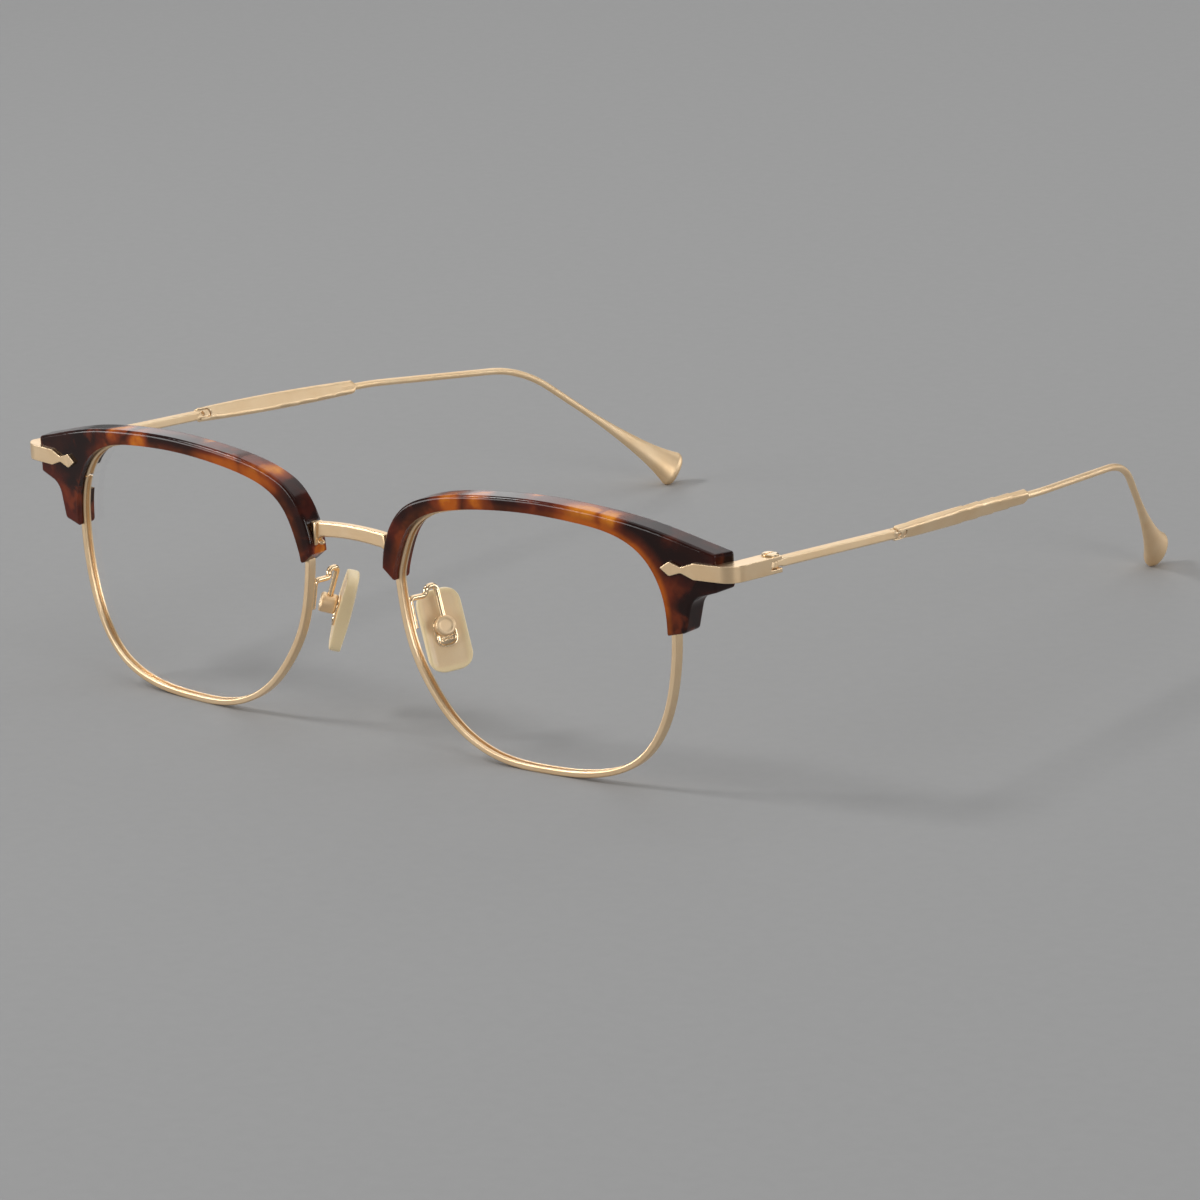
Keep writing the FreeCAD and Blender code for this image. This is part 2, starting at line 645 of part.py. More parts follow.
# Temple sleeve: a flat leaf with a notch at its front for the tongue of the stick and a bore at
# its back for the wire.
leaf_front = -d.sleeve_lip
leaf_back = leaf_front + d.sleeve_length
leaf_mid = leaf_front + d.sleeve_length * 0.42
low = d.sleeve_end_height / 2
high = d.sleeve_height / 2
corner = 0.7
sleeve = body("temple_sleeve_right", sleeve_frame)
leaf_edges = [
    Part.Arc(Vector(leaf_front, low, 0), Vector(leaf_mid, high, 0), Vector(leaf_back - corner, low, 0)),
    Part.LineSegment(Vector(leaf_back - corner, low, 0), Vector(leaf_back, low - corner, 0)),
    Part.LineSegment(Vector(leaf_back, low - corner, 0), Vector(leaf_back, corner - low, 0)),
    Part.LineSegment(Vector(leaf_back, corner - low, 0), Vector(leaf_back - corner, -low, 0)),
    Part.Arc(Vector(leaf_back - corner, -low, 0), Vector(leaf_mid, -high, 0), Vector(leaf_front, -low, 0)),
    Part.LineSegment(Vector(leaf_front, -low, 0), Vector(leaf_front, low, 0)),
]
pad(sleeve, sketch(sleeve, "YZ_Plane", leaf_edges), "Sizes.sleeve_thickness")
round_all(sleeve, "Sizes.sleeve_edge")
notch = stick_half + d.notch_gap
notch_edges = [
    Part.LineSegment(Vector(leaf_front - 1, notch, 0), Vector(leaf_front - 1, -notch, 0)),
    Part.LineSegment(Vector(leaf_front - 1, -notch, 0), Vector(d.notch_end, -notch, 0)),
    Part.Arc(Vector(d.notch_end, -notch, 0), Vector(d.notch_end + notch, 0, 0), Vector(d.notch_end, notch, 0)),
    Part.LineSegment(Vector(d.notch_end, notch, 0), Vector(leaf_front - 1, notch, 0)),
]
pocket(sleeve, sketch(sleeve, "YZ_Plane", notch_edges), "10", midplane=True)
wire_bore = sketch(
    sleeve, "XZ_Plane", circle(0, 0, d.wire_diameter * 0.4 + d.fit_gap), offset=-(leaf_back - d.wire_seat))
pocket(sleeve, wire_bore, "Sizes.wire_seat + 2")

# Temple wire: a round wire that leaves the sleeve, bends down behind the ear and swells into a
# flattened drop with a rounded end. Its last run is as long as it takes to reach the table.
wire_frame = Placement(joint, sleeve_turn)


def wire_heading(toe_in, fall):
    level = Vector(-sine(toe_in) * cosine(fall), cosine(toe_in) * cosine(fall), -sine(fall))
    return Rotation(Vector(1, 0, 0), -d.temple_pitch).multVec(level)


run_heading = wire_heading(d.wire_toe_in, d.wire_dip)
drop_heading = wire_heading(d.drop_toe_in, d.drop_angle)


def drop_ring(place, wide, thick):
    if wide > thick:
        ring = Part.Ellipse(Vector(0, 0, 0), wide, thick)
    else:
        ring = Part.Circle(Vector(0, 0, 0), Vector(0, 0, 1), wide)
    wire = Part.Wire([ring.toShape()])
    wire.translate(Vector(0, 0, place))
    return wire


def drop_blade():
    # The swelling from the round neck, and the rounded end that closes it.
    neck = d.wire_diameter / 2
    wide = d.paddle_width / 2
    thick = d.paddle_thickness / 2
    swelling = []
    for share in (0.0, 0.25, 0.5, 0.75):
        grown = share ** d.paddle_swell
        place = d.paddle_length * (share - 1)
        swelling.append(drop_ring(place, neck + (wide - neck) * grown, neck + (thick - neck) * grown))
    rounding = []
    for turn in (-10, 15, 40, 65, 85):
        inset = d.paddle_end * (1 - cosine(turn))
        rounding.append(drop_ring(d.paddle_end * (sine(turn) - 1), wide - inset, thick - inset))
    swelling.append(rounding[0])
    return [Part.makeLoft(swelling, True), Part.makeLoft(rounding, True)]


def build_wire(drop):
    seat_start = wire_frame.multVec(Vector(0, leaf_back - d.wire_seat + 0.1, 0))
    spigot_end = wire_frame.multVec(Vector(0, leaf_back + 0.02, 0))
    seat_axis = (spigot_end - seat_start).normalize()
    kink = wire_frame.multVec(Vector(0, leaf_back + d.wire_lead, 0))
    bend = kink + run_heading * d.wire_run
    tip = bend + drop_heading * drop
    neck = tip - drop_heading * d.paddle_length
    spigot = Part.makeCylinder(
        d.wire_diameter * 0.4, (spigot_end - seat_start).Length + 0.3, seat_start, seat_axis)
    run = tube(rounded_path([spigot_end, kink, bend, neck], [30.0, d.bend_radius]), d.wire_diameter)
    across = Vector(0.02, 0.53, 0.85)
    across = Rotation(Vector(1, 0, 0), -d.temple_pitch).multVec(across)
    across = (across - drop_heading * across.dot(drop_heading)).normalize()
    blade = drop_blade()
    for half in blade:
        half.Placement = Placement(tip, Rotation(across, drop_heading.cross(across), drop_heading, "ZXY"))
    return spigot.fuse([run] + blade)


first_drop = 36.0
lift = build_wire(first_drop).optimalBoundingBox(False).ZMin
drop_length = first_drop + lift / -drop_heading.z
keep("temple_wire_right", build_wire(drop_length))

# Nose pad: a moulded pad on a metal plate with a round can. The can turns a little on the peg
# at the end of its arm.
pad_turn = Rotation(Vector(0, 0, 1), -d.pad_splay).multiply(
    Rotation(Vector(0, 1, 0), -d.pad_lean)).multiply(Rotation(Vector(1, 0, 0), d.pad_cant))
can_point = Vector(nasal_x + d.arm_side, front_y + d.arm_back, lens_top - d.arm_drop)
pad_frame = Placement(can_point, pad_turn)
can_back = -d.can_length / 2
peg_radius = d.arm_diameter / 2

can = body("pad_can_right", pad_frame)
pad(can, sketch(can, "YZ_Plane", circle(0, 0, d.can_diameter / 2)), "Sizes.can_length")
round_all(can, "Sizes.can_edge")
dish_edges = circle(0, 0, d.can_diameter / 2 - 1.4 * d.can_edge)
pocket(can, sketch(can, "YZ_Plane", dish_edges, offset=d.can_length / 2 + 0.2), "Sizes.can_dish + 0.2")
pocket(can, sketch(can, "XY_Plane", circle(0, 0, peg_radius + d.run_gap), offset=-0.6), "8", reverse=True)

plate = body("pad_plate_right", pad_frame)
plate_corner = 0.4 * d.plate_width
plate_edges = rounded_rectangle(d.plate_width, d.plate_height, plate_corner, middle=-0.9)
pad(plate, sketch(plate, "YZ_Plane", plate_edges, offset=can_back - d.plate_thickness), "Sizes.plate_thickness",
    midplane=False)

nose_pad = body("nose_pad_right", pad_frame)
pad_edges = rounded_rectangle(d.pad_width, d.pad_height, 2.5, middle=-0.65)
pad(nose_pad, sketch(nose_pad, "YZ_Plane", pad_edges, offset=can_back - d.pad_thickness), "Sizes.pad_thickness",
    midplane=False)
round_all(nose_pad, "Sizes.pad_thickness * 0.33")
recess_edges = rounded_rectangle(
    d.plate_width + 2 * d.fit_gap, d.plate_height + 2 * d.fit_gap, plate_corner + d.fit_gap, middle=-0.9)
pocket(nose_pad, sketch(nose_pad, "YZ_Plane", recess_edges, offset=can_back + 0.2), "Sizes.plate_thickness + 0.22")

# Pad arm: a wire soldered along the back of the rim that runs back, hooks over and goes down
# into the can as its peg.
mid_rim = (outside + inside) / 2
foot_z = lens_top - d.strap_drop - 12.3
arm_y = front_y + rim_back + d.fit_gap + peg_radius
foot_low = Vector(edge_x(mid_rim, foot_z - d.foot_length, nasal=True), arm_y, foot_z - d.foot_length)
foot_high = Vector(edge_x(mid_rim, foot_z, nasal=True), arm_y, foot_z)
up_peg = pad_turn.multVec(Vector(0, 0, 1))
crest = can_point + up_peg * d.arm_rise
knee = Vector(foot_high.x + 0.15, crest.y - d.arm_hook, foot_z - 0.3)
hook = Vector(crest.x, knee.y, crest.z)
arm_edges = rounded_path(
    [foot_low, foot_high, knee, hook, crest, can_point - up_peg * 0.5],
    [d.arm_turn, d.arm_turn, d.arm_turn, d.arm_hump])
keep("pad_arm_right", tube(arm_edges, d.arm_diameter))

doc.recompute()

# The left side is the mirror of the right.
right_labels = (
    "rim_right", "rim_screw_right", "lens_right", "brow_right", "strap_rivets_right", "end_piece_right",
    "hinge_screw_right", "temple_stick_right", "temple_sleeve_right", "temple_wire_right", "pad_arm_right",
    "pad_can_right", "pad_plate_right", "nose_pad_right",
)
nodes = [bridge]
for label in right_labels:
    source = doc.getObjectsByLabel(label)[0]
    twin = doc.addObject("Part::Mirroring", label.replace("_right", "_left"))
    twin.Label = label.replace("_right", "_left")
    twin.Source = source
    twin.Normal = Vector(1, 0, 0)
    nodes += [source, twin]
doc.recompute()

for item in doc.Objects:
    if "Invalid" in item.State or "Error" in item.State:
        raise RuntimeError("%s did not build: %s" % (item.Label, item.State))
os.makedirs("parts", exist_ok=True)
everything = FreeCAD.BoundBox()
for node in nodes:
    shape = node.Shape
    if shape.isNull() or not shape.isValid() or not shape.Solids:
        raise RuntimeError("%s has no sound shape" % node.Label)
    shape.exportStep("parts/%s.step" % node.Label)
    everything.add(shape.optimalBoundingBox(False))
    print("%-22s solids %d volume %8.2f" % (node.Label, len(shape.Solids), shape.Volume))
print("x %.2f %.2f  y %.2f %.2f  z %.2f %.2f" % (
    everything.XMin, everything.XMax, everything.YMin, everything.YMax, everything.ZMin, everything.ZMax))
print("hinge", hinge, "axis", temple_frame.Rotation.multVec(Vector(0, 0, 1)))
print("can", can_point, "axis", up_peg)
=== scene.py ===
import math

import bmesh
import bpy
from mathutils import Matrix, Vector


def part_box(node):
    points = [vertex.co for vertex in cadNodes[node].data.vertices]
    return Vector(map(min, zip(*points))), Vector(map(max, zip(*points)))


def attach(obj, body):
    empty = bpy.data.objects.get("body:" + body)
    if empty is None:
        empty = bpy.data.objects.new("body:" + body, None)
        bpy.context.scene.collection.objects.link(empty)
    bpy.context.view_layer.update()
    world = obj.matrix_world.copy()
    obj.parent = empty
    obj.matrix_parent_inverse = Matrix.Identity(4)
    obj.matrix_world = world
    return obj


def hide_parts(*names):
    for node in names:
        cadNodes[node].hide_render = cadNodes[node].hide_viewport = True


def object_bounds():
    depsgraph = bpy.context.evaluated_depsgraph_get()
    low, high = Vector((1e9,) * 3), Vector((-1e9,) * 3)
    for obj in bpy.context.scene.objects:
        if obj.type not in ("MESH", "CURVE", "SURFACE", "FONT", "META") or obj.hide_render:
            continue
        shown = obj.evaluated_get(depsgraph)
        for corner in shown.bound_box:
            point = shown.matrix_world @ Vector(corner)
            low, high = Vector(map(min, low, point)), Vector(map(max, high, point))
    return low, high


mm = 0.001

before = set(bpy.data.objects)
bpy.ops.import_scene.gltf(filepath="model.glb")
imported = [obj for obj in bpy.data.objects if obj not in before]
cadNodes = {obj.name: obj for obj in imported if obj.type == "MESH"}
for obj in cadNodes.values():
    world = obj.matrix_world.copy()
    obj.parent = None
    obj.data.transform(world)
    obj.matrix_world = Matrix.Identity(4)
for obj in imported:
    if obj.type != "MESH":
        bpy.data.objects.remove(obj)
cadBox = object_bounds()
print("frame loaded with", len(cadNodes), "CAD nodes")


# Short ways to add shader nodes. A range is from low, from high, to low and to high.
def addNode(tree, kind, sockets=None, **settings):
    node = tree.nodes.new(kind)
    for setting, value in settings.items():
        setattr(node, setting, value)
    for socket, value in (sockets or {}).items():
        node.inputs[socket].default_value = value
    return node


def newGroup(name, inputs, outputs):
    tree = bpy.data.node_groups.new(name, "ShaderNodeTree")
    for socketName, kind, value in inputs:
        socket = tree.interface.new_socket(socketName, in_out="INPUT", socket_type=kind)
        if value is not None:
            socket.default_value = value
    for socketName, kind in outputs:
        tree.interface.new_socket(socketName, in_out="OUTPUT", socket_type=kind)
    return tree, tree.nodes.new("NodeGroupInput"), tree.nodes.new("NodeGroupOutput")


def newMaterial(name):
    material = bpy.data.materials.new(name)
    material.use_nodes = True
    tree = material.node_tree
    tree.nodes.clear()
    output = tree.nodes.new("ShaderNodeOutputMaterial")
    shader = tree.nodes.new("ShaderNodeBsdfPrincipled")
    tree.links.new(shader.outputs["BSDF"], output.inputs["Surface"])
    return material, tree, shader


def mapRange(tree, source, fromLow, fromHigh, toLow, toHigh, smooth=False):
    node = addNode(tree, "ShaderNodeMapRange", {1: fromLow, 2: fromHigh, 3: toLow, 4: toHigh})
    if smooth:
        node.interpolation_type = "SMOOTHSTEP"
    tree.links.new(source, node.inputs[0])
    return node.outputs[0]


def mathNode(tree, operation, first, second):
    node = addNode(tree, "ShaderNodeMath", operation=operation)
    for place, value in enumerate((first, second)):
        if isinstance(value, (int, float)):
            node.inputs[place].default_value = value
        else:
            tree.links.new(value, node.inputs[place])
    return node.outputs[0]


def mixColour(tree, factor, first, second):
    node = addNode(tree, "ShaderNodeMix", data_type="RGBA")
    sockets = (node.inputs[0], node.inputs[6], node.inputs[7])
    for socket, value in zip(sockets, (factor, first, second)):
        if isinstance(value, (int, float)):
            socket.default_value = value
        elif isinstance(value, tuple):
            socket.default_value = value + (1.0,)
        else:
            tree.links.new(value, socket)
    return node.outputs[2]


def addNoise(tree, place, scale, detail, roughness=0.5):
    node = addNode(tree, "ShaderNodeTexNoise", {"Scale": scale, "Detail": detail, "Roughness": roughness})
    tree.links.new(place, node.inputs["Vector"])
    return node


def addBump(tree, shader, height, strength, depth, normal=None):
    bump = addNode(tree, "ShaderNodeBump", {"Strength": strength, "Distance": depth})
    tree.links.new(height, bump.inputs["Height"])
    if normal is not None:
        tree.links.new(normal, bump.inputs["Normal"])
    tree.links.new(bump.outputs["Normal"], shader.inputs["Normal"])


def placeGroup(tree, group, **values):
    node = addNode(tree, "ShaderNodeGroup", node_tree=group)
    for socket, value in values.items():
        if isinstance(value, (int, float, tuple)):
            node.inputs[socket].default_value = value
        else:
            tree.links.new(value, node.inputs[socket])
    return node


# Edges, for worn edges and for light painted along them: where the surface turns within the given radius,
# broken up by a fine noise.
edgeWear = {
    "radius": 0.0002, "samples": 6, "breakup": 900.0, "breakupDetail": 3.0,
    "turnRange": (0.995, 0.80, 0.0, 1.0),  # from nearly flat to a sharp turn
    "breakupRange": (0.30, 0.60, 0.65, 1.0),
}


def makeEdgeGroup():
    tree, given, result = newGroup(
        "edgeWear",
        [("Vector", "NodeSocketVector", None), ("Radius", "NodeSocketFloat", edgeWear["radius"]),
         ("Breakup", "NodeSocketFloat", edgeWear["breakup"])],
        [("Edge", "NodeSocketFloat"), ("Normal", "NodeSocketVector")])
    rounded = addNode(tree, "ShaderNodeBevel", samples=edgeWear["samples"])
    tree.links.new(given.outputs["Radius"], rounded.inputs["Radius"])
    geometry = addNode(tree, "ShaderNodeNewGeometry")
    turn = addNode(tree, "ShaderNodeVectorMath", operation="DOT_PRODUCT")
    tree.links.new(rounded.outputs["Normal"], turn.inputs[0])
    tree.links.new(geometry.outputs["Normal"], turn.inputs[1])
    corner = mapRange(tree, turn.outputs["Value"], *edgeWear["turnRange"])
    noise = addNoise(tree, given.outputs["Vector"], edgeWear["breakup"], edgeWear["breakupDetail"])
    tree.links.new(given.outputs["Breakup"], noise.inputs["Scale"])
    broken = mapRange(tree, noise.outputs["Fac"], *edgeWear["breakupRange"])
    edge = mathNode(tree, "MULTIPLY", corner, broken)
    tree.links.new(edge, result.inputs["Edge"])
    tree.links.new(rounded.outputs["Normal"], result.inputs["Normal"])
    return tree


# Fine grain of finished metal: streaks along the axis that Stretch packs least, and a slow clouding.
metalGrain = {
    "streak": 1.0, "streakDetail": 4.0, "streakRoughness": 0.65, "streakRange": (0.30, 0.70, 0.0, 1.0),
    "cloud": 160.0, "cloudDetail": 3.0, "cloudRoughness": 0.55, "cloudRange": (0.35, 0.65, 0.0, 1.0),
}


def makeGrainGroup():
    tree, given, result = newGroup(
        "metalGrain",
        [("Vector", "NodeSocketVector", None), ("Stretch", "NodeSocketVector", (1.0, 1.0, 1.0)),
         ("Cloud", "NodeSocketFloat", metalGrain["cloud"])],
        [("Streak", "NodeSocketFloat"), ("Clouding", "NodeSocketFloat")])
    stretched = addNode(tree, "ShaderNodeMapping")
    tree.links.new(given.outputs["Vector"], stretched.inputs["Vector"])
    tree.links.new(given.outputs["Stretch"], stretched.inputs["Scale"])
    streak = addNoise(tree, stretched.outputs["Vector"], metalGrain["streak"],
                      metalGrain["streakDetail"], metalGrain["streakRoughness"])
    cloud = addNoise(tree, given.outputs["Vector"], metalGrain["cloud"],
                     metalGrain["cloudDetail"], metalGrain["cloudRoughness"])
    tree.links.new(given.outputs["Cloud"], cloud.inputs["Scale"])
    streaks = mapRange(tree, streak.outputs["Fac"], *metalGrain["streakRange"])
    clouding = mapRange(tree, cloud.outputs["Fac"], *metalGrain["cloudRange"])
    tree.links.new(streaks, result.inputs["Streak"])
    tree.links.new(clouding, result.inputs["Clouding"])
    return tree


edgeGroup = makeEdgeGroup()
grainGroup = makeGrainGroup()
print("node groups made")


# Gold metal, satin where it is brushed, matt along the temples and bright where it is polished.
satinGold = {
    "pale": (0.96, 0.725, 0.465), "deep": (0.91, 0.65, 0.385), "worn": (0.99, 0.835, 0.61),
    "lining": 0.16, "roughLow": 0.29, "roughHigh": 0.37,
    "grainDepth": 0.000002, "grainStrength": 0.12, "edgeRadius": 0.00016,
}
mattGold = {
    "pale": (0.97, 0.745, 0.485), "deep": (0.93, 0.68, 0.41), "worn": (0.99, 0.84, 0.62),
    "lining": 0.14, "roughLow": 0.43, "roughHigh": 0.51,
    "grainDepth": 0.000002, "grainStrength": 0.10, "edgeRadius": 0.00045,
}
polishedGold = {
    "pale": (0.96, 0.755, 0.50), "deep": (0.91, 0.67, 0.41), "worn": (0.99, 0.86, 0.65),
    "lining": 0.08, "roughLow": 0.17, "roughHigh": 0.24,
    "grainDepth": 0.000002, "grainStrength": 0.08, "edgeRadius": 0.00012,
}
# A worn edge turns paler, which is partly wear and partly a painted highlight along every edge.
goldWearAndHighlight = {"colour": 0.6, "smoothing": 0.08}  # how far a worn edge brightens and smooths
brushing = {
    "along": (300.0, 12000.0, 12000.0),    # lines along the front
    "upright": (12000.0, 12000.0, 300.0),  # lines up and down, on the wrap
    "back": (12000.0, 300.0, 12000.0),     # lines along the temples
    "blasted": (12000.0, 12000.0, 12000.0),
}


def goldMaterial(name, finish, direction):
    material, tree, shader = newMaterial(name)
    place = addNode(tree, "ShaderNodeTexCoord").outputs["Object"]
    grain = placeGroup(tree, grainGroup, Vector=place, Stretch=brushing[direction])
    edge = placeGroup(tree, edgeGroup, Vector=place, Radius=finish["edgeRadius"])
    colour = mixColour(tree, grain.outputs["Clouding"], finish["pale"], finish["deep"])
    lining = mathNode(tree, "MULTIPLY", grain.outputs["Streak"], finish["lining"])
    lined = mixColour(tree, lining, colour, finish["deep"])
    # Edges take the paler worn colour: partly wear, partly a painted highlight.
    rubbedAndHighlit = mathNode(tree, "MULTIPLY", edge.outputs["Edge"], goldWearAndHighlight["colour"])
    tree.links.new(mixColour(tree, rubbedAndHighlit, lined, finish["worn"]), shader.inputs["Base Color"])
    rough = mapRange(tree, grain.outputs["Streak"], 0.0, 1.0, finish["roughLow"], finish["roughHigh"])
    smoothing = mathNode(tree, "MULTIPLY", edge.outputs["Edge"], goldWearAndHighlight["smoothing"])
    tree.links.new(mathNode(tree, "SUBTRACT", rough, smoothing), shader.inputs["Roughness"])
    addBump(tree, shader, grain.outputs["Streak"], finish["grainStrength"], finish["grainDepth"],
            edge.outputs["Normal"])
    shader.inputs["Metallic"].default_value = 1.0
    return material


# Tortoise acetate: dark smoke and mahogany, with amber clouds that have a russet halo and a honey heart.
tortoise = {
    "smoke": (0.012, 0.0026, 0.0016), "mahogany": (0.085, 0.0100, 0.0034), "russet": (0.21, 0.034, 0.0070),
    "amber": (0.50, 0.110, 0.0060), "honey": (0.85, 0.300, 0.020),
    "sway": 0.33, "swayDetail": 3.0, "swayRoughness": 0.42, "warp": 1.7,
    "blotch": 0.13, "fleck": 0.30, "patchDetail": 2.0,
    "mahoganyRange": (0.40, 0.58, 0.0, 1.0), "russetRange": (0.52, 0.74, 0.0, 0.7),
    "cloudRim": 1.55, "cloudCore": 0.20,  # shares of a cloud's radius
    "haloRange": (0.02, 0.50, 0.0, 0.90), "amberRange": (0.36, 0.92, 0.0, 0.92),
    "heartRange": (0.60, 1.0, 0.0, 1.0), "honeyRange": (0.36, 0.58, 0.0, 0.90),
    "glowRange": (0.34, 0.60, 0.40, 0.82), "smokeShare": 0.90,
    "edgeRadius": 0.0005, "edgeBreakup": 400.0, "edgeShare": 0.18,
    "roughRange": (0.3, 0.7, 0.09, 0.15), "bumpStrength": 0.03, "bumpDepth": 0.00002,
    "ior": 1.48, "specular": 0.32,
}
# The acetate is thin along the lens, where light comes through it; that light is painted into its colour as a
# glow. Lengths in mm, glow as shares of the lens.
lensEdge = {
    "middle": 34.65, "centre": 20.75, "halfWidth": 25.35, "halfHeight": 20.2, "squareness": 3.4,
    "glowStart": 1.010, "glowEnd": 1.048, "haloEnd": 1.11, "leastAlong": 0.12, "leastUp": 0.10,
}
# Each cloud is x, y, z and radius in mm. The painted glow comes in from glowFrom to glowTo and glowLow to
# glowHigh.
browClouds = {
    "brow_right": {
        "amber": [(21.2, -71.5, 40.8, 2.6), (26.6, -71.0, 41.4, 2.2), (45.6, -70.2, 41.2, 4.2),
                  (50.5, -69.5, 41.8, 2.4), (35.6, -68.5, 42.4, 1.8), (13.2, -69.6, 33.4, 1.7)],
        "smoke": [(8.7, -72.0, 31.5, 2.6), (12.8, -71.6, 37.6, 2.8), (31.6, -71.4, 41.5, 3.2),
                  (56.0, -69.6, 39.2, 4.2), (64.4, -68.4, 38.0, 6.0), (64.0, -66.9, 30.0, 3.2)],
        "glowFrom": 37.0, "glowTo": 46.0, "glowLow": 22.0, "glowHigh": 31.0,
    },
    "brow_left": {
        "amber": [(-48.9, -69.2, 42.2, 2.2), (-43.6, -70.8, 40.8, 2.6), (-23.5, -72.0, 40.0, 2.4),
                  (-18.6, -71.8, 39.4, 2.6), (-15.6, -70.8, 40.2, 2.6), (-7.1, -70.2, 28.6, 1.4),
                  (-30.2, -69.0, 42.4, 1.8)],
        "smoke": [(-63.4, -68.6, 37.6, 5.4), (-32.4, -71.6, 42.0, 3.4), (-11.0, -72.2, 36.4, 3.0),
                  (-8.7, -72.2, 32.2, 2.4), (-55.6, -68.4, 39.8, 2.2)],
        "glowFrom": -33.0, "glowTo": -25.0, "glowLow": 36.5, "glowHigh": 39.5,
    },
}


def cloudMask(tree, place, clouds):
    mask = None
    for x, y, z, radius in clouds:
        distance = addNode(tree, "ShaderNodeVectorMath", {1: (x, y, z)}, operation="DISTANCE")
        tree.links.new(place, distance.inputs[0])
        rim, core = radius * tortoise["cloudRim"], radius * tortoise["cloudCore"]
        spot = mapRange(tree, distance.outputs["Value"], rim, core, 0.0, 1.0, smooth=True)
        mask = spot if mask is None else mathNode(tree, "MAXIMUM", mask, spot)
    return mask


# Painted glow of light through the acetate: strongest on the lens edge itself, and only past the place where
# the clear part of the sheet begins.
def paintedGlowMask(tree, place, middle, clouds):
    apart = addNode(tree, "ShaderNodeSeparateXYZ")
    tree.links.new(place, apart.inputs["Vector"])
    power = lensEdge["squareness"]
    total = 0.0
    for axis, centre, half in (("X", middle, lensEdge["halfWidth"]),
                               ("Z", lensEdge["centre"], lensEdge["halfHeight"])):
        offset = mathNode(tree, "SUBTRACT", apart.outputs[axis], centre)
        share = mathNode(tree, "DIVIDE", mathNode(tree, "ABSOLUTE", offset, 0.0), half)
        total = mathNode(tree, "ADD", mathNode(tree, "POWER", share, power), total)
    reach = mathNode(tree, "POWER", total, 1.0 / power)
    band = mapRange(tree, reach, lensEdge["glowStart"], lensEdge["glowEnd"], 1.0, 0.0, smooth=True)
    halo = mapRange(tree, reach, lensEdge["glowStart"], lensEdge["haloEnd"], 1.0, 0.0, smooth=True)
    along = mapRange(tree, apart.outputs["X"], clouds["glowFrom"], clouds["glowTo"],
                     lensEdge["leastAlong"], 1.0, smooth=True)
    upper = mapRange(tree, apart.outputs["Z"], clouds["glowLow"], clouds["glowHigh"],
                     lensEdge["leastUp"], 1.0, smooth=True)
    clear = mathNode(tree, "MULTIPLY", along, upper)
    return mathNode(tree, "MULTIPLY", band, clear), mathNode(tree, "MULTIPLY", halo, clear)


# Sways each place a little, so that the clouds get ragged outlines.
def swayedPlace(tree, place):
    sway = addNoise(tree, place, tortoise["sway"], tortoise["swayDetail"], tortoise["swayRoughness"])
    centred = addNode(tree, "ShaderNodeVectorMath", {1: (0.5, 0.5, 0.5)}, operation="SUBTRACT")
    tree.links.new(sway.outputs["Color"], centred.inputs[0])
    scaled = addNode(tree, "ShaderNodeVectorMath", {"Scale": 2 * tortoise["warp"]}, operation="SCALE")
    tree.links.new(centred.outputs["Vector"], scaled.inputs[0])
    warped = addNode(tree, "ShaderNodeVectorMath", operation="ADD")
    tree.links.new(place, warped.inputs[0])
    tree.links.new(scaled.outputs["Vector"], warped.inputs[1])
    return warped.outputs["Vector"]


